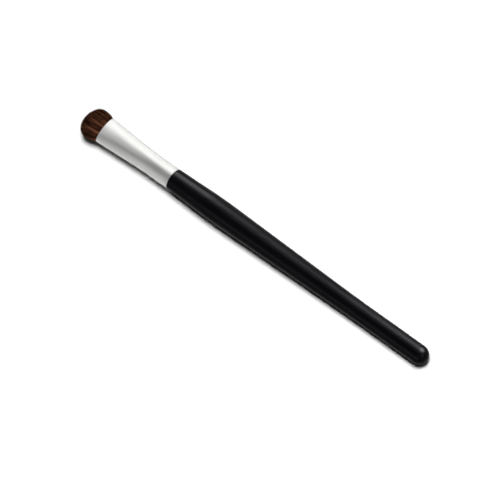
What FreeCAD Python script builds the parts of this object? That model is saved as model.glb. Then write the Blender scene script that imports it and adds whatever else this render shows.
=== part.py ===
import FreeCAD, Part
import math
import os

# Eyeshadow brush: an oval tuft of hair with a domed tip, tied and set in resin inside a pressed
# aluminium ferrule, which is glued to the tenon of a turned wooden handle with a coat of lacquer.
# The brush lies along X with its tip towards -X and the flat of the tuft facing up. The origin is on
# the surface below the middle of the brush. Lengths are in millimetres.

# Lengths that show, from the tip of the hair to the butt of the handle
TUFT_LENGTH = 8.8
FERRULE_LENGTH = 31.7
HANDLE_LENGTH = 114.5

# Ferrule: a drawn tube that is pressed oval towards its mouth
TUBE_RADIUS = 4.0
WALL = 0.35
MOUTH_SPREAD = 1.05  # how far the press widens the tube on each side
FLARE_EASE_SHARE = 0.25  # part of the flare that bends before it runs straight
FLARE_SECTIONS = 9
RIM_ROUND = 0.15

# Handle: a shoulder against the ferrule, a belly for the fingers, a straight taper and a straight tail,
# measured on the lacquer that covers it
COAT_THICKNESS = 0.2
SHOULDER_LIP = 0.06  # the lacquered shoulder stands this far proud of the tube
SHOULDER_ROUND = 0.3
BELLY_PLACE = 18.0  # from the shoulder to the belly
BELLY_LENGTH = 6.0
BELLY_SWELL = 0.51  # from the shoulder's radius
BELLY_BLEND = 2.0  # each side of the corner where the taper starts
TAIL_RADIUS = 3.5
TAIL_LENGTH = 26.0  # straight stretch in front of the round butt
TAIL_BLEND = 5.0  # each side of the corner where the taper ends
RISE_SHARES = ((0.4, 0.25), (0.9, 1.0))  # how far along and up the rise to the belly is drawn

# Tenon: the reduced end of the handle that is glued into the round stretch of the ferrule
TENON_LENGTH = 8.0
TENON_END_ROOM = 0.5  # round bore that is left in front of the tenon
TENON_CHAMFER = 0.5
GLUE_GAP = 0.1
GLUE_GROOVES = 3
GLUE_GROOVE_WIDTH = 0.8
GLUE_GROOVE_DEPTH = 0.25

# Hair: roots inside the ferrule and the free tuft in front of it
HAIR_CLEARANCE = 0.1
ROOT_LENGTH = 13.0
TUFT_SPREAD = 0.82  # how far the free hair swells past the ferrule on each side
DOME_LENGTH = 4.2
MOUTH_CURL_SHARES = (0.1, 0.62)  # where the swelling turns, along and across
SWELL_SHARE = 0.42  # how far from the mouth it starts to level out

# Thread that ties the roots, in one winding
THREAD_DIAMETER = 0.35
THREAD_PITCH = 0.8
BINDING_TURNS = 5
BINDING_DEPTH = 7.2  # from the mouth to the first turn
THREAD_CLEARANCE = 0.06

# Resin that holds the ends of the roots
RESIN_LENGTH = 5.0
MENISCUS_DEPTH = 0.6

# Places along the brush
BRUSH_LENGTH = TUFT_LENGTH + FERRULE_LENGTH + HANDLE_LENGTH
TIP_X = -BRUSH_LENGTH / 2
MOUTH_X = TIP_X + TUFT_LENGTH
SHOULDER_X = MOUTH_X + FERRULE_LENGTH

# Sizes that follow from the ones above
SHOULDER_RADIUS = TUBE_RADIUS + SHOULDER_LIP
BELLY_RADIUS = SHOULDER_RADIUS + BELLY_SWELL
AXIS_Z = BELLY_RADIUS
MOUTH_HALF_WIDTH = TUBE_RADIUS + MOUTH_SPREAD
TUFT_HALF_WIDTH = MOUTH_HALF_WIDTH + TUFT_SPREAD
BORE_RADIUS = TUBE_RADIUS - WALL
TENON_RADIUS = BORE_RADIUS - GLUE_GAP
ROUND_LENGTH = TENON_LENGTH + TENON_END_ROOM
FLARE_LENGTH = FERRULE_LENGTH - ROUND_LENGTH
THREAD_RADIUS = THREAD_DIAMETER / 2
BINDING_LENGTH = BINDING_TURNS * THREAD_PITCH
TIE_LENGTH = BINDING_LENGTH + 2 * THREAD_DIAMETER  # hair that the winding draws in

ALONG = FreeCAD.Vector(1, 0, 0)
ACROSS = FreeCAD.Rotation(FreeCAD.Vector(1, 1, 1), 120)  # carries X to Y, Y to Z and Z to X


def on_axis(x, radius=0.0):
    """Point above the brush axis at x, in the upright plane through the axis."""
    return FreeCAD.Vector(x, 0, AXIS_Z + radius)


def ellipse_girth(a, b):
    """Length of an ellipse's outline from its half axes, by Ramanujan's formula."""
    return math.pi * (3 * (a + b) - math.sqrt((3 * a + b) * (a + 3 * b)))


def half_thickness_of(half_width):
    """Half thickness of the pressed tube, which keeps the girth of the round one."""
    girth = 2 * math.pi * TUBE_RADIUS
    low, high = 0.0, TUBE_RADIUS
    while high - low > TUBE_RADIUS * 1e-9:
        middle = (low + high) / 2
        if ellipse_girth(half_width, middle) < girth:
            low = middle
        else:
            high = middle
    return high


def flare_share(depth):
    """How much of the press's spread the ferrule has at this depth, from 0 to 1 at the mouth."""
    along = max(0.0, 1 - depth / FLARE_LENGTH)
    ease = FLARE_EASE_SHARE
    risen = along**2 / (2 * ease) if along < ease else along - ease / 2
    return risen / (1 - ease / 2)


def oval_at(depth, inset):
    """Half width and half thickness of the ferrule at a depth from its mouth, inset from the outside."""
    half_width = TUBE_RADIUS + MOUTH_SPREAD * flare_share(depth)
    return half_width - inset, half_thickness_of(half_width) - inset


def oval_wire(x, half_width, half_thickness):
    """Closed oval across the brush axis at x."""
    curve = Part.Ellipse(FreeCAD.Vector(), half_width, min(half_thickness, half_width))
    wire = Part.Wire(curve.toShape())
    wire.Placement = FreeCAD.Placement(on_axis(x), ACROSS)
    return wire


def oval_loft(first_depth, last_depth, inset):
    """Solid that fills the ferrule's oval between two depths, inset from the outside."""
    wires = []
    for step in range(FLARE_SECTIONS):
        depth = first_depth + (last_depth - first_depth) * step / (FLARE_SECTIONS - 1)
        wires.append(oval_wire(MOUTH_X + depth, *oval_at(depth, inset)))
    return Part.makeLoft(wires, True)


def rod(x, length, radius):
    """Round solid on the brush axis from x, length long."""
    return Part.makeCylinder(radius, length, on_axis(x), ALONG)


def bezier(*points):
    """Edge of a Bezier curve with these points as its poles."""
    curve = Part.BezierCurve()
    curve.setPoles(list(points))
    return curve.toShape()


def turned(edges):
    """Solid that a profile above the axis makes when it is turned all the way round."""
    face = Part.Face(Part.Wire(edges))
    return face.revolve(on_axis(0), ALONG, 360)


def tube_filled(inset):
    """Whole ferrule as a filled solid, inset from the outside."""
    flare = oval_loft(0, FLARE_LENGTH, inset)
    return flare.fuse(rod(MOUTH_X + FLARE_LENGTH, ROUND_LENGTH, TUBE_RADIUS - inset))


def make_ferrule():
    """Tube of even wall, round at the handle and oval at the mouth, with a rounded rim there."""
    tube = tube_filled(0).cut(tube_filled(WALL)).removeSplitter()
    rim = [e for e in tube.Edges if abs(e.BoundBox.Center.x - MOUTH_X) < RIM_ROUND]
    rim = [e for e in rim if e.BoundBox.XLength < RIM_ROUND]
    return tube.makeFillet(RIM_ROUND, rim)


def shoulder_edges(inset):
    """Shoulder face and its rounded corner, from the tenon outwards, inset from the lacquer's outside."""
    corner_x = SHOULDER_X + SHOULDER_ROUND
    corner_radius = SHOULDER_RADIUS - SHOULDER_ROUND
    bend_radius = SHOULDER_ROUND - inset
    lean = bend_radius * math.sqrt(0.5)
    start = on_axis(SHOULDER_X + inset, TENON_RADIUS)
    face_end = on_axis(SHOULDER_X + inset, corner_radius)
    middle = on_axis(corner_x - lean, corner_radius + lean)
    bend = Part.Arc(face_end, middle, on_axis(corner_x, corner_radius + bend_radius))
    return [Part.LineSegment(start, face_end).toShape(), bend.toShape()]


def body_edges(inset):
    """Rise to the belly, its straight stretch, straight taper, straight tail and round butt, all inset."""
    shoulder_radius = SHOULDER_RADIUS - inset
    belly_radius = BELLY_RADIUS - inset
    tail_radius = TAIL_RADIUS - inset
    start_x = SHOULDER_X + SHOULDER_ROUND
    belly_x = SHOULDER_X + BELLY_PLACE
    round_x = SHOULDER_X + HANDLE_LENGTH - TAIL_RADIUS
    tail_x = round_x - TAIL_LENGTH
    top = on_axis(belly_x + BELLY_LENGTH, belly_radius)
    foot = on_axis(tail_x - TAIL_BLEND, tail_radius)
    slope = (foot - top).normalize()
    belly_end = top - ALONG * BELLY_BLEND
    taper_start = top + slope * BELLY_BLEND
    taper_end = foot - slope * TAIL_BLEND
    tail_start = foot + ALONG * TAIL_BLEND
    tail_end = on_axis(round_x, tail_radius)
    lean = tail_radius * math.sqrt(0.5)
    rise = [on_axis(start_x, shoulder_radius)]
    for along, up in RISE_SHARES:
        rise.append(on_axis(start_x + (belly_x - start_x) * along, shoulder_radius + BELLY_SWELL * up))
    rise.append(on_axis(belly_x, belly_radius))
    return [
        bezier(*rise),
        Part.LineSegment(rise[-1], belly_end).toShape(),
        bezier(belly_end, top, taper_start),
        Part.LineSegment(taper_start, taper_end).toShape(),
        bezier(taper_end, foot, tail_start),
        Part.LineSegment(tail_start, tail_end).toShape(),
        Part.Arc(tail_end, on_axis(round_x + lean, lean), on_axis(round_x + tail_radius)).toShape(),
    ]


def make_handle():
    """Turned wooden handle with a chamfered tenon that has glue grooves round it."""
    end_x = SHOULDER_X - TENON_LENGTH
    tenon = Part.makePolygon([
        on_axis(SHOULDER_X + HANDLE_LENGTH - COAT_THICKNESS),
        on_axis(end_x),
        on_axis(end_x, TENON_RADIUS - TENON_CHAMFER),
        on_axis(end_x + TENON_CHAMFER, TENON_RADIUS),
        on_axis(SHOULDER_X + COAT_THICKNESS, TENON_RADIUS),
    ])
    handle = turned(tenon.Edges + shoulder_edges(COAT_THICKNESS) + body_edges(COAT_THICKNESS))
    spacing = TENON_LENGTH / (GLUE_GROOVES + 1)
    for number in range(GLUE_GROOVES):
        groove_x = end_x + spacing * (number + 1) - GLUE_GROOVE_WIDTH / 2
        ring = rod(groove_x, GLUE_GROOVE_WIDTH, BORE_RADIUS)
        ring = ring.cut(rod(groove_x, GLUE_GROOVE_WIDTH, TENON_RADIUS - GLUE_GROOVE_DEPTH))
        handle = handle.cut(ring)
    return handle


def make_lacquer_coat(handle):
    """Even coat over the shoulder, the body and the butt of the handle, up to its tenon."""
    middle = Part.makePolygon([
        on_axis(SHOULDER_X + HANDLE_LENGTH),
        on_axis(SHOULDER_X),
        on_axis(SHOULDER_X, TENON_RADIUS),
    ])
    return turned(middle.Edges + shoulder_edges(0) + body_edges(0)).cut(handle)


def make_tenon_adhesive(handle):
    """Glue that fills the gap and the grooves between the tenon and the bore."""
    return rod(SHOULDER_X - TENON_LENGTH, TENON_LENGTH, BORE_RADIUS).cut(handle)


def tie_oval():
    """Half axes of the hair where the thread draws it in, the same over the whole winding."""
    inset = WALL + HAIR_CLEARANCE + THREAD_DIAMETER + THREAD_CLEARANCE
    front = oval_at(BINDING_DEPTH, inset)
    back = oval_at(BINDING_DEPTH + BINDING_LENGTH, inset)
    return min(front[0], back[0]), min(front[1], back[1])


def make_hair_roots():
    """Bound part of the hair inside the ferrule, with a waist where it is tied."""
    roots = oval_loft(0, ROOT_LENGTH, WALL + HAIR_CLEARANCE)
    waist_x = MOUTH_X + BINDING_DEPTH - THREAD_DIAMETER
    waist = Part.Face(oval_wire(waist_x, *tie_oval())).extrude(ALONG * TIE_LENGTH)
    return roots.cut(rod(waist_x, TIE_LENGTH, MOUTH_HALF_WIDTH).cut(waist))


def make_hair_tuft():
    """Free hair: it swells out of the mouth, then closes in a half-round dome, oval throughout."""
    half_width, half_thickness = oval_at(0, WALL + HAIR_CLEARANCE)
    dome_x = TIP_X + DOME_LENGTH
    reach = MOUTH_X - dome_x
    curl_along, curl_across = MOUTH_CURL_SHARES
    swell = bezier(
        on_axis(MOUTH_X, half_width),
        on_axis(MOUTH_X - reach * curl_along, half_width + (TUFT_HALF_WIDTH - half_width) * curl_across),
        on_axis(MOUTH_X - reach * SWELL_SHARE, TUFT_HALF_WIDTH),
        on_axis(dome_x, TUFT_HALF_WIDTH),
    )
    lean = math.sqrt(0.5)
    unit_dome = Part.Arc(FreeCAD.Vector(0, 0, 1), FreeCAD.Vector(-lean, 0, lean), FreeCAD.Vector(-1, 0, 0))
    stretch = FreeCAD.Matrix()
    stretch.scale(DOME_LENGTH, 1, TUFT_HALF_WIDTH)
    stretch.move(on_axis(dome_x))
    dome = unit_dome.toShape().transformGeometry(stretch)
    base = Part.makePolygon([on_axis(TIP_X), on_axis(MOUTH_X), on_axis(MOUTH_X, half_width)])
    round_tuft = turned(base.Edges + [swell, dome])
    flatten = FreeCAD.Matrix()
    flatten.move(-on_axis(0))
    flatten.scale(1, 1, half_thickness / half_width)
    flatten.move(on_axis(0))
    return round_tuft.transformGeometry(flatten)


def thread_place(turn):
    """Point and direction on the thread's line after this many turns round the tied hair."""
    half_width, half_thickness = (half + THREAD_RADIUS + THREAD_CLEARANCE / 2 for half in tie_oval())
    angle = 2 * math.pi * turn
    along = MOUTH_X + BINDING_DEPTH + THREAD_PITCH * turn
    point = on_axis(along) + FreeCAD.Vector(0, half_width * math.cos(angle), half_thickness * math.sin(angle))
    round_y = -2 * math.pi * half_width * math.sin(angle)
    round_z = 2 * math.pi * half_thickness * math.cos(angle)
    return point, FreeCAD.Vector(THREAD_PITCH, round_y, round_z).normalize()


def arc_between(start, direction, end):
    """Arc from start, leaving it in this direction, to end."""
    chord = end - start
    half = chord.Length / 2
    chord.normalize()
    aside = (direction - chord * direction.dot(chord)).normalize()
    rise = half * math.tan(direction.getAngle(chord) / 2)
    return Part.Arc(start, (start + end) * 0.5 + aside * rise, end).toShape()


def biarc(start, start_direction, end, end_direction):
    """Two arcs that meet smoothly and join two points with these directions there."""
    span = end - start
    both = start_direction + end_direction
    bend = 2 * (1 - start_direction.dot(end_direction))
    reach = (math.sqrt(span.dot(both) ** 2 + bend * span.dot(span)) - span.dot(both)) / bend
    meet = (start + end + (start_direction - end_direction) * reach) * 0.5
    second = arc_between(end, end_direction * -1, meet)
    return [arc_between(start, start_direction, meet), second]


def thread_edges():
    """Line of the thread: straight ends and a winding of quarter turns."""
    quarters = 4 * BINDING_TURNS
    places = [thread_place(number / 4) for number in range(quarters + 1)]
    first, first_way = places[0]
    last, last_way = places[-1]
    edges = [Part.LineSegment(first - first_way * THREAD_DIAMETER, first).toShape()]
    for (start, start_way), (end, end_way) in zip(places, places[1:]):
        edges += biarc(start, start_way, end, end_way)
    edges.append(Part.LineSegment(last, last + last_way * THREAD_DIAMETER).toShape())
    return edges


def least_gap(edges):
    """Smallest space between one turn of the thread and the next, measured on points."""
    points = [p for edge in edges[1:-1] for p in edge.discretize(6)[:-1]]
    turn = len(points) // BINDING_TURNS
    apart = [(a - b).Length for i, a in enumerate(points) for b in points[i + turn // 2:]]
    return min(apart) - THREAD_DIAMETER


def make_root_binding():
    """One thread wound round the roots, as an unbroken tube."""
    edges = thread_edges()
    print("thread gap", round(least_gap(edges), 3))
    line = Part.Wire(Part.sortEdges(edges)[0])
    start = edges[0].Vertexes[0].Point
    way = edges[0].Vertexes[-1].Point - start
    section = Part.Wire(Part.Circle(start, way, THREAD_RADIUS).toShape())
    return line.makePipeShell([section], True, False)


def make_resin_plug():
    """Resin cast behind the roots, which clings to the bore and sinks in the middle."""
    end_depth = ROOT_LENGTH + RESIN_LENGTH
    plug = oval_loft(0, FLARE_LENGTH, WALL)
    plug = plug.common(rod(MOUTH_X + ROOT_LENGTH, RESIN_LENGTH, MOUTH_HALF_WIDTH))
    reach = oval_at(end_depth, WALL)[1] - MENISCUS_DEPTH
    bowl_radius = (reach**2 + MENISCUS_DEPTH**2) / (2 * MENISCUS_DEPTH)
    bowl = Part.makeSphere(bowl_radius, on_axis(MOUTH_X + end_depth + bowl_radius - MENISCUS_DEPTH))
    return plug.cut(bowl)


def main():
    """Makes each piece and writes it to its own file."""
    handle = make_handle()
    pieces = {
        "handle": handle,
        "lacquer_coat": make_lacquer_coat(handle),
        "ferrule": make_ferrule(),
        "tenon_adhesive": make_tenon_adhesive(handle),
        "resin_plug": make_resin_plug(),
        "root_binding": make_root_binding(),
        "hair_roots": make_hair_roots(),
        "hair_tuft": make_hair_tuft(),
    }
    os.makedirs("parts", exist_ok=True)
    for name, shape in pieces.items():
        shape.exportStep(f"parts/{name}.step")
        print(name, len(shape.Solids), shape.isValid(), round(shape.Volume, 3))


main()
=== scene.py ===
"""Looks of an eyeshadow brush: a lacquered handle, a pressed aluminium ferrule and a domed hair tuft."""
import logging
import math
from dataclasses import dataclass, field
from enum import Enum
from typing import Any

import bpy
import numpy as np
from mathutils import Matrix, Vector


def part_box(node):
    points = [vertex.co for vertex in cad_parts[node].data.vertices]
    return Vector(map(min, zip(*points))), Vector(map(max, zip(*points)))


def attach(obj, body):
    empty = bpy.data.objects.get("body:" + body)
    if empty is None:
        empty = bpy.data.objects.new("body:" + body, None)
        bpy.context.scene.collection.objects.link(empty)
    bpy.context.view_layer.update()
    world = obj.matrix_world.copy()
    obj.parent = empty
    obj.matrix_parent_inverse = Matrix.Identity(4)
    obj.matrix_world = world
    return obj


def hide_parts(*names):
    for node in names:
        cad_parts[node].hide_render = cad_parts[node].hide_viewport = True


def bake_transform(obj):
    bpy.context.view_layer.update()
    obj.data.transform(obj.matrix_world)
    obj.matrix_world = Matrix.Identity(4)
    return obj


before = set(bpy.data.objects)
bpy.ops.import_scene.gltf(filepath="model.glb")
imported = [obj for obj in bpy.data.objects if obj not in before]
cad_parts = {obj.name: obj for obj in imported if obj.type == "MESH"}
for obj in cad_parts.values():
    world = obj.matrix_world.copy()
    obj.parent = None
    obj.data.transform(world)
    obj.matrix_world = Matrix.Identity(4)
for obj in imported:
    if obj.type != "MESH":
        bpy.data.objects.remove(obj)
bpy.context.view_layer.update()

log = logging.getLogger("eyeshadow_brush")
MM = 0.001
IMAGE_SIDE = 500
SENSOR_WIDTH = 36.0
GOLDEN_ANGLE = math.pi * (3 - math.sqrt(5))
FULL_TURN = 2 * math.pi
NOISE_SPAN = (0.3, 0.7)  # where most of a noise's values are
WHITE = "#FFFFFF"
MOUTH_HALF_WIDTH = 4.6 * MM  # of the hair in the ferrule's mouth
MOUTH_HALF_THICKNESS = 2.335 * MM


class Body(Enum):
    """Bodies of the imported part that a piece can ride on."""

    BRUSH = "brush"
    TUFT = "tuft"


def linear(colour: str) -> tuple[float, float, float, float]:
    """Turns an sRGB hex colour into linear light.

    Args:
        colour: Colour such as "#8A6B4F".

    Returns:
        Linear red, green and blue, and an alpha of one.
    """
    shares = [int(colour[i:i + 2], 16) / 255 for i in (1, 3, 5)]
    red, green, blue = [s / 12.92 if s <= 0.04045 else ((s + 0.055) / 1.055) ** 2.4 for s in shares]
    return red, green, blue, 1.0


def add_node(tree: bpy.types.NodeTree, kind: str, inputs: dict[Any, Any] | None = None,
             **settings: Any) -> bpy.types.Node:
    """Adds a node with its settings and links.

    Args:
        tree: Node tree that gets the node.
        kind: Blender's name for the type of node.
        inputs: Value or output socket for each input, by the input's name or number.
        settings: Properties of the node.

    Returns:
        The new node.
    """
    node = tree.nodes.new(kind)
    for name, value in settings.items():
        setattr(node, name, value)
    for key, value in (inputs or {}).items():
        if isinstance(value, bpy.types.NodeSocket):
            tree.links.new(value, node.inputs[key])
        else:
            node.inputs[key].default_value = value
    return node


@dataclass(frozen=True)
class Finish:
    """A surface: its name, what every finish sets on the shader, and how its patterns show."""

    name: str
    roughness: float
    ior: float = 1.5
    metallic: float = 0.0
    mirror: float = 0.5
    colours: tuple[str, str] = (WHITE, WHITE)
    swing: tuple[float, float] = (0.0, 0.0)  # change of roughness at a pattern's low and high values
    relief_mm: float = 0.0
    detail: float = 2.0  # octaves of its patterns

    def begin(self) -> tuple[bpy.types.Material, bpy.types.NodeTree, bpy.types.Node]:
        """Starts the material.

        Returns:
            The material, its node tree and its shader.
        """
        material = bpy.data.materials.new(self.name)
        material.use_nodes = True
        tree = material.node_tree
        tree.nodes.clear()
        shader = add_node(tree, "ShaderNodeBsdfPrincipled", {
            "Roughness": self.roughness, "IOR": self.ior, "Metallic": self.metallic,
            "Specular IOR Level": self.mirror})
        add_node(tree, "ShaderNodeOutputMaterial", {"Surface": shader.outputs["BSDF"]})
        return material, tree, shader

    def pattern(self, tree: bpy.types.NodeTree, size_mm: float,
                stretch: float = 1.0) -> bpy.types.NodeSocket:
        """Draws blotches of a real size, which may be drawn out along the brush.

        Args:
            tree: Node tree of the material.
            size_mm: Size of one blotch across the brush.
            stretch: How many times longer a blotch is along the brush.

        Returns:
            Socket with the noise, from 0 to 1.
        """
        place = add_node(tree, "ShaderNodeTexCoord")
        scale = 1 / (size_mm * MM)
        drawn = add_node(tree, "ShaderNodeVectorMath", {
            0: place.outputs["Object"], 1: (scale / stretch, scale, scale)}, operation="MULTIPLY")
        noise = add_node(tree, "ShaderNodeTexNoise", {
            "Vector": drawn.outputs[0], "Scale": 1.0, "Detail": self.detail})
        return noise.outputs[0]

    def cover(self, tree: bpy.types.NodeTree, shader: bpy.types.Node, tint: bpy.types.NodeSocket,
              gloss: bpy.types.NodeSocket | None = None, relief: bpy.types.NodeSocket | None = None,
              span: tuple[float, float] = NOISE_SPAN) -> None:
        """Lays the two colours, the changing roughness and the relief on the shader.

        Args:
            tree: Node tree of the material.
            shader: Shader that gets them.
            tint: Socket with the share of the second colour.
            gloss: Socket that the roughness follows.
            relief: Socket with the height, from 0 to 1.
            span: Values of the gloss socket between which the roughness swings.
        """
        first, second = (linear(colour) for colour in self.colours)
        mix = add_node(tree, "ShaderNodeMix", {0: tint, 6: first, 7: second}, data_type="RGBA")
        tree.links.new(mix.outputs[2], shader.inputs["Base Color"])
        if gloss is not None:
            low, high = (self.roughness + change for change in self.swing)
            rough = add_node(tree, "ShaderNodeMapRange", {
                "Value": gloss, "From Min": span[0], "From Max": span[1], "To Min": low, "To Max": high})
            tree.links.new(rough.outputs[0], shader.inputs["Roughness"])
        if relief is not None:
            bump = add_node(tree, "ShaderNodeBump", {
                "Height": relief, "Strength": 1.0, "Distance": self.relief_mm * MM})
            tree.links.new(bump.outputs[0], shader.inputs["Normal"])


@dataclass(frozen=True)
class DippedLacquer(Finish):
    """Black lacquer, dipped in several coats and left satin."""

    name: str = "dipped_satin_lacquer"
    roughness: float = 0.31
    mirror: float = 0.02
    colours: tuple[str, str] = ("#030305", "#070709")
    swing: tuple[float, float] = (-0.04, 0.04)
    relief_mm: float = 0.004
    flow_mm: float = 9.0
    flow_stretch: float = 3.0
    peel_mm: float = 1.4

    def material(self) -> bpy.types.Material:
        """Makes the material.

        Returns:
            The lacquer.
        """
        # Deep black with one broad, weak highlight: the coats flow into faint long waves, and dry with the
        # skin of an orange peel, which breaks the highlight's edge a little.
        material, tree, shader = self.begin()
        flow = self.pattern(tree, self.flow_mm, stretch=self.flow_stretch)
        peel = self.pattern(tree, self.peel_mm)
        self.cover(tree, shader, tint=flow, gloss=flow, relief=peel)
        return material


@dataclass(frozen=True)
class DrawnAluminium(Finish):
    """Aluminium tube, drawn, pressed and satin anodised."""

    name: str = "drawn_satin_aluminium"
    roughness: float = 0.36
    metallic: float = 1.0
    colours: tuple[str, str] = ("#C3C3C1", "#BABAB8")
    swing: tuple[float, float] = (-0.05, 0.05)
    relief_mm: float = 0.0015
    line_mm: float = 0.35
    line_stretch: float = 60.0
    cloud_mm: float = 5.0

    def material(self) -> bpy.types.Material:
        """Makes the material.

        Returns:
            The metal.
        """
        # Soft silver with blurred reflections, faint clouds and faint lines along the tube from the drawing
        # die. The real lines are some hundredths of a millimetre apart, so they are drawn coarser to show.
        material, tree, shader = self.begin()
        lines = self.pattern(tree, self.line_mm, stretch=self.line_stretch)
        cloud = self.pattern(tree, self.cloud_mm)
        self.cover(tree, shader, tint=cloud, gloss=lines, relief=lines)
        return material


@dataclass(frozen=True)
class TurnedBirch(Finish):
    """Birch, turned and sanded."""

    name: str = "turned_birch"
    roughness: float = 0.6
    colours: tuple[str, str] = ("#D8BE94", "#B8935F")
    swing: tuple[float, float] = (-0.08, 0.08)
    relief_mm: float = 0.01
    detail: float = 4.0
    ring_mm: float = 1.3
    ring_stretch: float = 25.0

    def material(self) -> bpy.types.Material:
        """Makes the material.

        Returns:
            The wood.
        """
        # Pale wood with long narrow grain, darker and a little rougher in the late wood.
        material, tree, shader = self.begin()
        rings = self.pattern(tree, self.ring_mm, stretch=self.ring_stretch)
        self.cover(tree, shader, tint=rings, gloss=rings, relief=rings)
        return material


@dataclass(frozen=True)
class SetLiquid(Finish):
    """Glue or resin that was poured and set."""

    swing: tuple[float, float] = (0.0, 0.1)
    relief_mm: float = 0.02
    detail: float = 3.0
    cloud_mm: float = 1.6

    def material(self) -> bpy.types.Material:
        """Makes the material.

        Returns:
            The glue or resin.
        """
        # Amber body with cloudy patches and the slight waves of a liquid that has set.
        material, tree, shader = self.begin()
        cloud = self.pattern(tree, self.cloud_mm)
        self.cover(tree, shader, tint=cloud, gloss=cloud, relief=cloud)
        return material


@dataclass(frozen=True)
class TwistedThread(Finish):
    """Waxed linen thread, twisted from plies."""

    name: str = "waxed_linen_thread"
    roughness: float = 0.7
    colours: tuple[str, str] = ("#8F8776", "#CFC9BA")
    swing: tuple[float, float] = (0.0, 0.15)
    relief_mm: float = 0.03
    detail: float = 3.0
    ply_mm: float = 0.25

    def material(self) -> bpy.types.Material:
        """Makes the material.

        Returns:
            The thread.
        """
        # Off-white fibre with painted shade darkening the gaps between the plies, and a dull wax sheen.
        # Real plies are about half as wide, and are drawn coarser to show.
        material, tree, shader = self.begin()
        plies_and_gap_shade = self.pattern(tree, self.ply_mm)
        # Where the plies sink they also get the darker colour: painted shade in the gaps
        self.cover(tree, shader, tint=plies_and_gap_shade, gloss=plies_and_gap_shade, relief=plies_and_gap_shade)
        return material


@dataclass(frozen=True)
class NaturalHair(Finish):
    """Dark brown natural hair, washed and combed."""

    name: str = "natural_brown_hair"
    roughness: float = 0.42
    ior: float = 1.55
    mirror: float = 0.025
    colours: tuple[str, str] = ("#100300", "#8A5840")
    swing: tuple[float, float] = (0.1, 0.0)
    tone: str = "hair_tone"

    def material(self) -> bpy.types.Material:
        """Makes the material.

        Returns:
            The hair, which takes each strand's tone from the mesh.
        """
        # Each hair has its own brown, from nearly black to a warm mid brown, and light hairs are smoother,
        # so that single bright hairs stand out of dark locks.
        material, tree, shader = self.begin()
        own = add_node(tree, "ShaderNodeAttribute", attribute_name=self.tone)
        self.cover(tree, shader, tint=own.outputs["Fac"], gloss=own.outputs["Fac"], span=(0.0, 1.0))
        return material

    def shade(self, mesh: bpy.types.Mesh, tones: np.ndarray) -> None:
        """Writes the tone of each point of a mesh, for the material to read.

        Args:
            mesh: Mesh that gets the tones.
            tones: Tone of each point, from 0 to 1.
        """
        layer = mesh.attributes.new(self.tone, "FLOAT", "POINT")
        layer.data.foreach_set("value", tones.astype(np.float32))


def dress_solid(node: str, finish: Finish) -> None:
    """Gives a carried-over solid its finish.

    Args:
        node: Name of the solid.
        finish: Finish that it gets.
    """
    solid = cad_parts[node]
    solid.data.materials.clear()
    solid.data.materials.append(finish.material())
    log.info("%s: %s", node, finish.name)


def mesh_piece(name: str, points: np.ndarray, faces: list[tuple[int, ...]],
               finish: Finish) -> bpy.types.Object:
    """Makes a smooth-shaded mesh object with one material.

    Args:
        name: Name of the piece.
        points: Its points, in metres.
        faces: Indices of each face's points.
        finish: Its finish.

    Returns:
        The new object.
    """
    mesh = bpy.data.meshes.new(name)
    mesh.from_pydata(points.tolist(), [], faces)
    mesh.shade_smooth()
    mesh.materials.append(finish.material())
    piece = bpy.data.objects.new(name, mesh)
    bpy.context.scene.collection.objects.link(piece)
    return piece


def face_list(*groups: np.ndarray) -> list[tuple[int, ...]]:
    """Turns arrays of point indices, one row for each face, into one list of faces.

    Args:
        groups: Arrays of indices.

    Returns:
        The faces, in the order of the arrays.
    """
    return [tuple(face) for group in groups for face in group.tolist()]


@dataclass
class Handle:
    """Turned handle with its lacquer and the glue on its tenon."""

    lacquer: DippedLacquer = field(default_factory=DippedLacquer)
    wood: TurnedBirch = field(default_factory=TurnedBirch)
    glue: SetLiquid = field(default_factory=lambda: SetLiquid(
        name="set_wood_glue", roughness=0.5, colours=("#BFA368", "#D9C79A")))

    def build(self) -> None:
        """Dresses the handle's solids, which carry over as they are."""
        self.dress()

    def dress(self) -> None:
        """Gives the lacquer, the wood and the glue their finishes."""
        dress_solid("lacquer_coat", self.lacquer)
        dress_solid("handle", self.wood)
        dress_solid("tenon_adhesive", self.glue)


@dataclass
class Ferrule:
    """Pressed tube, with the resin and the thread inside it."""

    metal: DrawnAluminium = field(default_factory=DrawnAluminium)
    resin: SetLiquid = field(default_factory=lambda: SetLiquid(
        name="cast_epoxy_resin", roughness=0.15, colours=("#B98A45", "#D9B77C")))
    thread: TwistedThread = field(default_factory=TwistedThread)

    def build(self) -> None:
        """Dresses the ferrule's solids, which carry over as they are."""
        self.dress()

    def dress(self) -> None:
        """Gives the tube, the resin and the thread their finishes."""
        dress_solid("ferrule", self.metal)
        dress_solid("resin_plug", self.resin)
        dress_solid("root_binding", self.thread)


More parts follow.
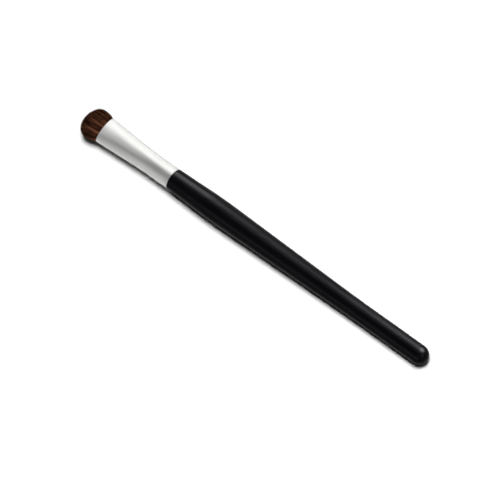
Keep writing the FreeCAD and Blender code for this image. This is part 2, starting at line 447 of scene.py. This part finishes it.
@dataclass
class Tuft:
    """Free hair: a few thousand strands that swell out of the ferrule and end on a dome."""

    # Strands, drawn about twice as thick as real hair so that this many fill the tuft
    strands: int = 4400
    sides: int = 4
    strand_radius: float = 0.045 * MM
    taper_from: float = 0.6
    tip_radius_share: float = 0.3
    stations: tuple[float, ...] = (0.0, 0.1, 0.17, 0.26, 0.4, 0.55, 0.7, 0.85, 1.0)
    seed: int = 11

    # Shape: dome and swelling are those of the hair's solid, and the tips also turn in and lean
    dome_length: float = 4.2 * MM
    dome_rounds: int = 12
    swell_curl: tuple[float, float] = (0.1, 0.62)  # first pole of the side's curve, along and across
    swell_level: float = 0.42  # second pole, from where the side runs level
    swell_steps: int = 60
    root_depth: float = 1.2 * MM  # how deep in the ferrule the strands start
    root_share: float = 0.965  # spread at the lower end of the strands, against the mouth
    tip_curl: float = 0.2  # how far the tips turn in
    lean: float = 0.58 * MM  # of the tips, to one side

    # Locks and stray hairs
    clumps: int = 560
    disc_jitter: float = 0.3  # against the spacing of the strands
    disc_edge: float = 0.995
    clump_jitter: float = 0.015
    clump_pull: float = 0.55
    pull_power: float = 1.4
    clump_stray: float = 0.12 * MM
    stray_power: float = 1.5
    strand_stray: float = 0.05 * MM
    uneven: float = 0.13 * MM
    uneven_kept: float = 0.4  # share of it by which the longest hairs pass the dome
    short_share: float = 0.3
    short_least: float = 0.55
    outer_share: float = 0.72

    # Tones: spread between locks, between strands and along a strand, and the fall towards the tip
    tone_mean: float = -0.1
    tone_most: float = 1.1
    clump_tone: float = 0.52
    strand_tone: float = 0.36
    station_tone: float = 0.22
    mouth_tone: float = 1.6
    tone_fall: float = 1.25
    hair: NaturalHair = field(default_factory=NaturalHair)

    # Strip of the map that a strand gets: where it starts in its cell and how much it takes, and how many
    # times more columns than rows the map has
    strip_across: tuple[float, float] = (0.15, 0.7)
    strip_along: tuple[float, float] = (0.05, 0.9)
    columns_per_row: int = 4

    # Places taken from the hair's solid
    mouth_x: float = field(init=False)
    reach: float = field(init=False)
    axis_z: float = field(init=False)
    spread: float = field(init=False)

    def __post_init__(self) -> None:
        """Takes the places of the tuft from its solid."""
        low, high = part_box("hair_tuft")
        self.mouth_x = high.x
        self.reach = high.x - low.x - self.dome_length
        self.axis_z = (low.z + high.z) / 2
        self.spread = (high.y - low.y) / 2 / MOUTH_HALF_WIDTH

    def seeds(self, count: int) -> np.ndarray:
        """Spreads points evenly over a unit disc.

        Args:
            count: Number of points.

        Returns:
            The points, count by 2.
        """
        number = np.arange(count)
        angle = number * GOLDEN_ANGLE
        radius = np.sqrt((number + 0.5) / count)
        return np.stack([radius * np.cos(angle), radius * np.sin(angle)], 1)

    def swell(self, ahead: np.ndarray) -> np.ndarray:
        """Spread of the hair at distances in front of the mouth.

        Args:
            ahead: Distances in metres, below zero inside the ferrule.

        Returns:
            Spread against the hair in the mouth.
        """
        t = np.linspace(0, 1, self.swell_steps)
        along, across = self.swell_curl
        grown = self.spread - 1
        poles_x = np.array([0.0, along, self.swell_level, 1.0]) * self.reach
        poles_y = np.array([1.0, 1 + grown * across, self.spread, self.spread])
        weights = np.stack([(1 - t) ** 3, 3 * t * (1 - t) ** 2, 3 * t ** 2 * (1 - t), t ** 3], 1)
        inside = np.clip(-ahead / self.root_depth, 0, 1) * (1 - self.root_share)
        return np.interp(ahead, weights @ poles_x, weights @ poles_y) - inside

    def lengths(self, radius: np.ndarray, rng: np.random.Generator) -> np.ndarray:
        """Cuts each strand to end on the dome, some a little short and a share of them much shorter.

        Args:
            radius: Distance of each strand from the middle of the disc.
            rng: Source of the random draws.

        Returns:
            Length of each strand in front of the mouth.
        """
        # A tip turns in as it rises, so its place on the dome is found in a few rounds
        rise = np.sqrt(1 - radius ** 2)
        for _ in range(self.dome_rounds):
            rise = np.sqrt(np.clip(1 - (radius * (1 - self.tip_curl * rise ** 2)) ** 2, 0, 1))
        length = self.reach + self.dome_length * rise
        length -= np.abs(rng.normal(0, self.uneven, self.strands)) - self.uneven * self.uneven_kept
        short = rng.random(self.strands) < self.short_share
        return np.where(short, length * rng.uniform(self.short_least, 1, self.strands), length)

    def lines(self) -> tuple[np.ndarray, np.ndarray, np.ndarray]:
        """Draws the line of every strand, gathered in locks towards the tip.

        Returns:
            Points of the lines (strand, station, axis), each strand's distance from the middle of the disc
            and its tone at each station.
        """
        rng = np.random.default_rng(self.seed)
        disc = self.seeds(self.strands)
        disc += rng.normal(0, self.disc_jitter / math.sqrt(self.strands), disc.shape)
        disc /= np.maximum(1, np.linalg.norm(disc, axis=1) / self.disc_edge)[:, None]
        # Every strand belongs to the lock whose middle is nearest
        middles = self.seeds(self.clumps) + rng.normal(0, self.clump_jitter, (self.clumps, 2))
        nearest = np.argmin(((disc[:, None] - middles[None]) ** 2).sum(2), 1)
        radius = np.linalg.norm(disc, axis=1)
        length = self.lengths(radius, rng)
        ahead = -self.root_depth + (length + self.root_depth)[:, None] * np.array(self.stations)[None]
        free = np.clip(ahead / (self.reach + self.dome_length), 0, 1)
        domed = np.clip((ahead - self.reach) / self.dome_length, 0, 1)
        gather = self.clump_pull * free ** self.pull_power
        place = disc[:, None] + (middles[nearest] - disc)[:, None] * gather[..., None]
        place *= (self.swell(ahead) * (1 - self.tip_curl * domed ** 2))[..., None]
        place *= np.array([MOUTH_HALF_WIDTH, MOUTH_HALF_THICKNESS])
        stray = rng.normal(0, self.clump_stray, (self.clumps, 2))[nearest]
        place += stray[:, None] * free[..., None] ** self.stray_power
        place += rng.normal(0, self.strand_stray, (self.strands, 1, 2)) * free[..., None]
        points = np.empty((*ahead.shape, 3))
        points[..., 0] = self.mouth_x - ahead
        points[..., 1] = place[..., 0] - self.lean * free ** 2
        points[..., 2] = self.axis_z + place[..., 1]
        return points, radius, self.tones(nearest, free, rng)

    def tones(self, nearest: np.ndarray, free: np.ndarray, rng: np.random.Generator) -> np.ndarray:
        """Draws the tones, which differ between locks and strands and fall towards the tip.

        Args:
            nearest: Lock of each strand.
            free: How far along the free hair each station is, from 0 to 1.
            rng: Source of the random draws.

        Returns:
            Tone of each strand at each station, from 0 to 1.
        """
        own = self.tone_mean + rng.normal(0, self.clump_tone, self.clumps)[nearest]
        own = own + rng.normal(0, self.strand_tone, self.strands)
        tone = np.clip(own, 0, self.tone_most)[:, None] * (self.mouth_tone - self.tone_fall * free)
        return np.clip(tone + rng.normal(0, self.station_tone, free.shape), 0, 1)

    def tubes(self, name: str, points: np.ndarray, tone: np.ndarray) -> bpy.types.Object:
        """Makes tapering tubes along the strands' lines, as one mesh.

        Args:
            name: Name of the piece.
            points: Lines of the strands.
            tone: Tone of each strand at each station.

        Returns:
            The piece, with a map that gives each strand its own strip.
        """
        count, stations, _ = points.shape
        taper = np.interp(self.stations, [0, self.taper_from, 1], [1, 1, self.tip_radius_share])
        girth = self.strand_radius * taper
        along = np.gradient(points, axis=1)
        along /= np.linalg.norm(along, axis=2, keepdims=True)
        side = np.cross(along, [0.0, 0.0, 1.0])
        side /= np.linalg.norm(side, axis=2, keepdims=True)
        over = np.cross(side, along)
        turn = np.arange(self.sides) * FULL_TURN / self.sides
        ring = side[:, :, None] * np.cos(turn)[:, None] + over[:, :, None] * np.sin(turn)[:, None]
        shell = (points[:, :, None] + ring * girth[None, :, None, None]).reshape(-1, 3)
        tips = points[:, -1] + along[:, -1] * self.strand_radius
        corner = np.arange(count * stations * self.sides).reshape(count, stations, self.sides)
        after = np.roll(corner, -1, axis=2)
        quads = np.stack([corner[:, :-1], corner[:, 1:], after[:, 1:], after[:, :-1]], 3).reshape(-1, 4)
        tip = np.repeat(len(shell) + np.arange(count)[:, None], self.sides, 1)
        caps = np.stack([corner[:, -1], tip, after[:, -1]], 2).reshape(-1, 3)
        faces = face_list(quads, caps, corner[:, 0, :])
        piece = mesh_piece(name, np.concatenate([shell, tips]), faces, self.hair)
        round_tone = np.repeat(tone, self.sides, axis=1).ravel()
        self.hair.shade(piece.data, np.concatenate([round_tone, tone[:, -1]]))
        self.unwrap(piece.data, count)
        return piece

    def unwrap(self, mesh: bpy.types.Mesh, count: int) -> None:
        """Gives each strand its own strip of the map.

        Args:
            mesh: Mesh of the strands.
            count: Number of strands.
        """
        stations = len(self.stations)
        strand = np.concatenate([np.repeat(np.arange(count), stations * self.sides), np.arange(count)])
        height = np.concatenate([np.tile(np.repeat(self.stations, self.sides), count), np.ones(count)])
        round_share = np.tile(np.arange(self.sides) / self.sides, count * stations)
        round_share = np.concatenate([round_share, np.full(count, 0.5)])
        columns = math.ceil(math.sqrt(count * self.columns_per_row))
        rows = math.ceil(count / columns)
        u = (strand % columns + self.strip_across[0] + self.strip_across[1] * round_share) / columns
        v = (strand // columns + self.strip_along[0] + self.strip_along[1] * height) / rows
        corners = np.empty(len(mesh.loops), np.int32)
        mesh.loops.foreach_get("vertex_index", corners)
        layer = mesh.uv_layers.new(name="OFBake")
        layer.uv.foreach_set("vector", np.stack([u, v], 1)[corners].astype(np.float32).ravel())

    def build(self) -> None:
        """Builds the strands as two pieces, outer and inner, in place of the hair's solid, which it hides.
        """
        points, radius, tone = self.lines()
        outer = radius > self.outer_share
        for name, chosen in (("tuft_hair_outer", outer), ("tuft_hair_inner", ~outer)):
            piece = self.tubes(name, points[chosen], tone[chosen])
            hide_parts("hair_tuft")
            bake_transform(piece)
            log.info("%s: %d strands", name, int(chosen.sum()))


@dataclass
class Roots:
    """Bound roots inside the ferrule, ridged by the hairs and drawn in under the thread."""

    back_half_width: float = 3.9 * MM
    back_half_thickness: float = 3.05 * MM
    front_gap: float = 0.25 * MM
    slack: float = 0.05 * MM
    thread_depth: float = 0.45 * MM
    tie_ease: float = 0.3 * MM
    ridge: float = 0.012
    tone: tuple[float, float] = (0.35, 0.15)
    steps: int = 40
    around: int = 120
    seed: int = 12
    hair: NaturalHair = field(default_factory=NaturalHair)

    def half_sizes(self, depth: np.ndarray) -> tuple[np.ndarray, np.ndarray]:
        """Half width and half thickness of the roots, which the thread draws in.

        Args:
            depth: Distances from the front of the roots' solid, in metres.

        Returns:
            The half widths and the half thicknesses.
        """
        low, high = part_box("hair_roots")
        bind_low, bind_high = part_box("root_binding")
        share = depth / (high.x - low.x)
        x = low.x + depth
        tied = np.clip(np.minimum(x - bind_low.x, bind_high.x - x) / self.tie_ease + 1, 0, 1)
        sizes = []
        for front, back, wound in (
                (MOUTH_HALF_WIDTH, self.back_half_width, bind_high.y - bind_low.y),
                (MOUTH_HALF_THICKNESS, self.back_half_thickness, bind_high.z - bind_low.z)):
            loose = front + (back - front) * share - self.slack
            sizes.append(loose + (wound / 2 - self.thread_depth - loose) * tied)
        return sizes[0], sizes[1]

    def build(self) -> None:
        """Builds the bundle and fixes it to the brush."""
        low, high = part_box("hair_roots")
        tuft_low, tuft_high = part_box("hair_tuft")
        rng = np.random.default_rng(self.seed)
        depth = np.linspace(self.front_gap, high.x - low.x, self.steps)
        width, thick = self.half_sizes(depth)
        turn = np.arange(self.around) * FULL_TURN / self.around
        ridge = 1 - np.abs(rng.normal(0, self.ridge, self.around))
        points = np.empty((self.steps, self.around, 3))
        points[..., 0] = (low.x + depth)[:, None]
        points[..., 1] = width[:, None] * np.cos(turn) * ridge
        points[..., 2] = (tuft_low.z + tuft_high.z) / 2 + thick[:, None] * np.sin(turn) * ridge
        corner = np.arange(self.steps * self.around).reshape(self.steps, self.around)
        after = np.roll(corner, -1, axis=1)
        quads = np.stack([corner[:-1], after[:-1], after[1:], corner[1:]], 2).reshape(-1, 4)
        faces = face_list(quads, corner[:1, ::-1], corner[-1:])
        bundle = mesh_piece("hair_root_bundle", points.reshape(-1, 3), faces, self.hair)
        tone = np.clip(rng.normal(*self.tone, self.around), 0, 1)
        self.hair.shade(bundle.data, np.tile(tone, self.steps))
        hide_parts("hair_roots")
        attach(bundle, Body.BRUSH.value)
        log.info("%s: %d faces", bundle.name, len(bundle.data.polygons))


def seen(tree: bpy.types.NodeTree) -> bpy.types.NodeSocket:
    """Tells rays that show the backdrop from rays that only carry its light.

    Args:
        tree: Node tree of the backdrop's material or of the room.

    Returns:
        Socket that is 1 for the camera and for rays that a shiny or clear surface sends on, and 0 for rays
        that come from a matt surface.
    """
    path = add_node(tree, "ShaderNodeLightPath")
    # A depth below one half means that the ray has met no matt surface yet
    first = add_node(tree, "ShaderNodeMath", {
        0: path.outputs["Diffuse Depth"], 1: 0.5}, operation="LESS_THAN")
    shiny = add_node(tree, "ShaderNodeMath", {
        0: path.outputs["Is Camera Ray"], 1: path.outputs["Is Glossy Ray"]}, operation="MAXIMUM")
    clear = add_node(tree, "ShaderNodeMath", {
        0: shiny.outputs[0], 1: path.outputs["Is Transmission Ray"]}, operation="MAXIMUM")
    direct = add_node(tree, "ShaderNodeMath", {
        0: clear.outputs[0], 1: first.outputs[0]}, operation="MULTIPLY")
    return direct.outputs[0]


@dataclass(frozen=True)
class CoatedPaper(Finish):
    """White coated paper that covers the table and runs up into the backdrop."""

    name: str = "white_coated_paper"
    roughness: float = 0.9
    ior: float = 1.3
    mirror: float = 0.0
    colours: tuple[str, str] = (WHITE, "#FDFDFD")
    fibre_mm: float = 2.0
    sweep: tuple[float, float] = (0.25, 0.7)  # metres from the brush over which it turns into the backdrop

    def material(self) -> bpy.types.Material:
        """Makes the material.

        Returns:
            The paper.
        """
        # Clean matt white that keeps a shadow, with the faintest fibre, drawn coarser than the real one to
        # show. Away from the brush it is the even white of the backdrop, for the eye and for reflections.
        material, tree, shader = self.begin()
        self.cover(tree, shader, tint=self.pattern(tree, self.fibre_mm))
        place = add_node(tree, "ShaderNodeTexCoord")
        away = add_node(tree, "ShaderNodeVectorMath", {0: place.outputs["Object"]}, operation="LENGTH")
        far = add_node(tree, "ShaderNodeMapRange", {
            "Value": away.outputs["Value"], "From Min": self.sweep[0], "From Max": self.sweep[1]},
            interpolation_type="SMOOTHSTEP")
        share = add_node(tree, "ShaderNodeMath", {0: far.outputs[0], 1: seen(tree)}, operation="MULTIPLY")
        white = add_node(tree, "ShaderNodeEmission", {"Color": linear(WHITE), "Strength": 1.0})
        both = add_node(tree, "ShaderNodeMixShader", {
            0: share.outputs[0], 1: shader.outputs[0], 2: white.outputs[0]})
        out = next(n for n in tree.nodes if n.type == "OUTPUT_MATERIAL")
        tree.links.new(both.outputs[0], out.inputs["Surface"])
        return material


class Reach(Enum):
    """What a lamp acts on."""

    SHADE = "light and shadow"
    GLOSS = "reflections"
    LACQUER = "reflections in the lacquer"
    METAL = "reflections in the ferrule"


@dataclass(frozen=True)
class Panel:
    """A soft light panel, square to the brush unless it is turned or lies as its back says."""

    name: str
    centre: tuple[float, float, float]
    width: float
    tall: float
    brightness: float  # of its face, where 1 shows as white
    reach: Reach
    turned: float = 0.0  # 1 turns it towards the middle of the brush
    back: tuple[float, float, float] | None = None

    def build(self) -> None:
        """Places the panel and limits what it acts on."""
        place = Vector(self.centre)
        lamp = bpy.data.lights.new(self.name, "AREA")
        lamp.shape = "RECTANGLE"
        lamp.size = self.width
        lamp.size_y = self.tall
        lamp.energy = self.brightness * math.pi * self.width * self.tall
        holder = bpy.data.objects.new(self.name, lamp)
        holder.location = place
        holder.rotation_mode = "QUATERNION"
        back = Vector(self.back or (place.x * self.turned, place.y, place.z))
        holder.rotation_quaternion = back.to_track_quat("Z", "Y")
        holder.visible_camera = False
        holder.visible_diffuse = self.reach is Reach.SHADE
        holder.visible_glossy = self.reach is not Reach.SHADE
        only = {Reach.LACQUER: "lacquer_coat", Reach.METAL: "ferrule"}.get(self.reach)
        if only:
            lit = bpy.data.collections.new(self.name)
            lit.objects.link(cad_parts[only])
            holder.light_linking.receiver_collection = lit
        bpy.context.scene.collection.objects.link(holder)
        log.info("%s: %s", self.name, self.reach.value)


@dataclass
class Studio:
    """White table, a soft lamp above it, panels beside it and the camera."""

    # Table, which touches the brush at two places along it, each given as x and z
    table_side: float = 12.0
    belly_rest: tuple[float, float] = (-16.0 * MM, 0.0 * MM)
    tail_rest: tuple[float, float] = (74.0 * MM, 1.07 * MM)
    paper: CoatedPaper = field(default_factory=CoatedPaper)

    # Room that the metal shows: grey round one darkest direction, and white low down
    dark_axis: tuple[float, float, float] = (-0.3, -0.25, 0.92)
    ceiling: float = 0.215
    wall: float = 0.78
    wall_rise: tuple[float, float] = (0.76, 1.0)
    backdrop_rise: tuple[float, float] = (0.04, 0.12)
    room_light: float = 0.015

    # Of these, only the overhead lamp lights matt surfaces and casts a shadow; the rest show in shiny ones
    panels: tuple[Panel, ...] = (
        Panel("overhead_lamp", (0.0, 0.58, 2.94), 1.0, 1.1, 29.0, Reach.SHADE),
        Panel("soft_wall", (-0.42, 0.95, 0.71), 2.6, 1.3, 1.25, Reach.GLOSS),
        Panel("side_card", (-0.05, 0.2, 0.003), 0.4, 0.37, 1.2, Reach.METAL, back=(0.0, 0.0, -1.0)),
        Panel("tip_window", (-0.47, 0.0, 0.35), 0.34, 0.3, 2.0, Reach.GLOSS),
        Panel("belly_window", (-0.31, 0.3, 0.2), 0.26, 0.26, 60.0, Reach.LACQUER),
        Panel("tail_window", (0.12, 0.3, 0.2), 0.28, 0.26, 98.0, Reach.LACQUER),
        Panel("far_window", (0.1, -0.6, 0.3), 0.9, 0.25, 5.2, Reach.LACQUER),
        Panel("butt_window", (0.7, 0.05, 0.35), 0.3, 0.3, 10.0, Reach.LACQUER, turned=1.0),
    )

    # Camera, with its angles in degrees
    lean: float = 20.0
    around: float = 7.3
    roll: float = -33.9
    distance: float = 2.5
    aim: tuple[float, float, float] = (1.66 * MM, -4.65 * MM, 4.57 * MM)
    focal_pixels: float = 7197.7
    clip: tuple[float, float] = (0.1, 50.0)

    def build(self) -> None:
        """Builds the stage."""
        self.lay_table()
        self.light_room()
        for panel in self.panels:
            panel.build()
        self.place_camera()

    def lay_table(self) -> None:
        """Lays the table under the two places that the brush rests on, its belly and its slimmer tail."""
        half = self.table_side / 2
        (x, z), (far_x, far_z) = self.belly_rest, self.tail_rest
        slope = (far_z - z) / (far_x - x)
        corners = np.array([(i * half, j * half, z + slope * (i * half - x))
                            for i, j in ((-1, -1), (1, -1), (1, 1), (-1, 1))])
        mesh_piece("table", corners, [(0, 1, 2, 3)], self.paper)

    def light_room(self) -> None:
        """Sets the room: white where the backdrop stands, grey above, and dim as a light."""
        world = bpy.data.worlds.new("room")
        world.use_nodes = True
        tree = world.node_tree
        tree.nodes.clear()
        towards = add_node(tree, "ShaderNodeTexCoord")
        bands = []
        for axis, (low, high), lower, upper in ((self.dark_axis, self.wall_rise, self.wall, self.ceiling),
                                                ((0, 0, 1), self.backdrop_rise, 1.0, 0.0)):
            along = add_node(tree, "ShaderNodeVectorMath", {0: towards.outputs["Generated"], 1: axis},
                             operation="DOT_PRODUCT")
            bands.append(add_node(tree, "ShaderNodeMapRange", {
                "Value": along.outputs["Value"], "From Min": low, "From Max": high,
                "To Min": lower, "To Max": upper}))
        shown = add_node(tree, "ShaderNodeMath", {0: bands[0].outputs[0], 1: bands[1].outputs[0]},
                         operation="MAXIMUM")
        level = add_node(tree, "ShaderNodeMix", {0: seen(tree), 2: self.room_light, 3: shown.outputs[0]})
        sky = add_node(tree, "ShaderNodeBackground", {
            "Color": linear(WHITE), "Strength": level.outputs[0]})
        add_node(tree, "ShaderNodeOutputWorld", {"Surface": sky.outputs[0]})
        bpy.context.scene.world = world

    def place_camera(self) -> None:
        """Places the camera above the brush, leaning towards its butt and turned about its own view."""
        lean, around, roll = (math.radians(x) for x in (self.lean, self.around, self.roll))
        back = Vector((math.sin(lean), -math.cos(lean) * math.sin(around),
                       math.cos(lean) * math.cos(around)))
        level = Vector((-back.y, back.x, 0)).normalized()
        upright = back.cross(level)
        right = level * math.cos(roll) + upright * math.sin(roll)
        up = upright * math.cos(roll) - level * math.sin(roll)
        lens = bpy.data.cameras.new("camera")
        lens.sensor_width = SENSOR_WIDTH
        lens.lens = self.focal_pixels * SENSOR_WIDTH / IMAGE_SIDE
        lens.clip_start, lens.clip_end = self.clip
        camera = bpy.data.objects.new("camera", lens)
        turned = Matrix((right, up, back)).transposed().to_4x4()
        camera.matrix_world = Matrix.Translation(Vector(self.aim) + back * self.distance) @ turned
        bpy.context.scene.collection.objects.link(camera)
        bpy.context.scene.camera = camera


def main() -> None:
    """Builds the brush and its stage."""
    logging.basicConfig(level=logging.INFO, format="%(message)s")
    bpy.context.scene.view_settings.view_transform = "Standard"
    for group in (Handle(), Ferrule(), Tuft(), Roots(), Studio()):
        group.build()
        log.info("built %s", type(group).__name__)
    bpy.context.view_layer.update()


if __name__ == "__main__":
    main()
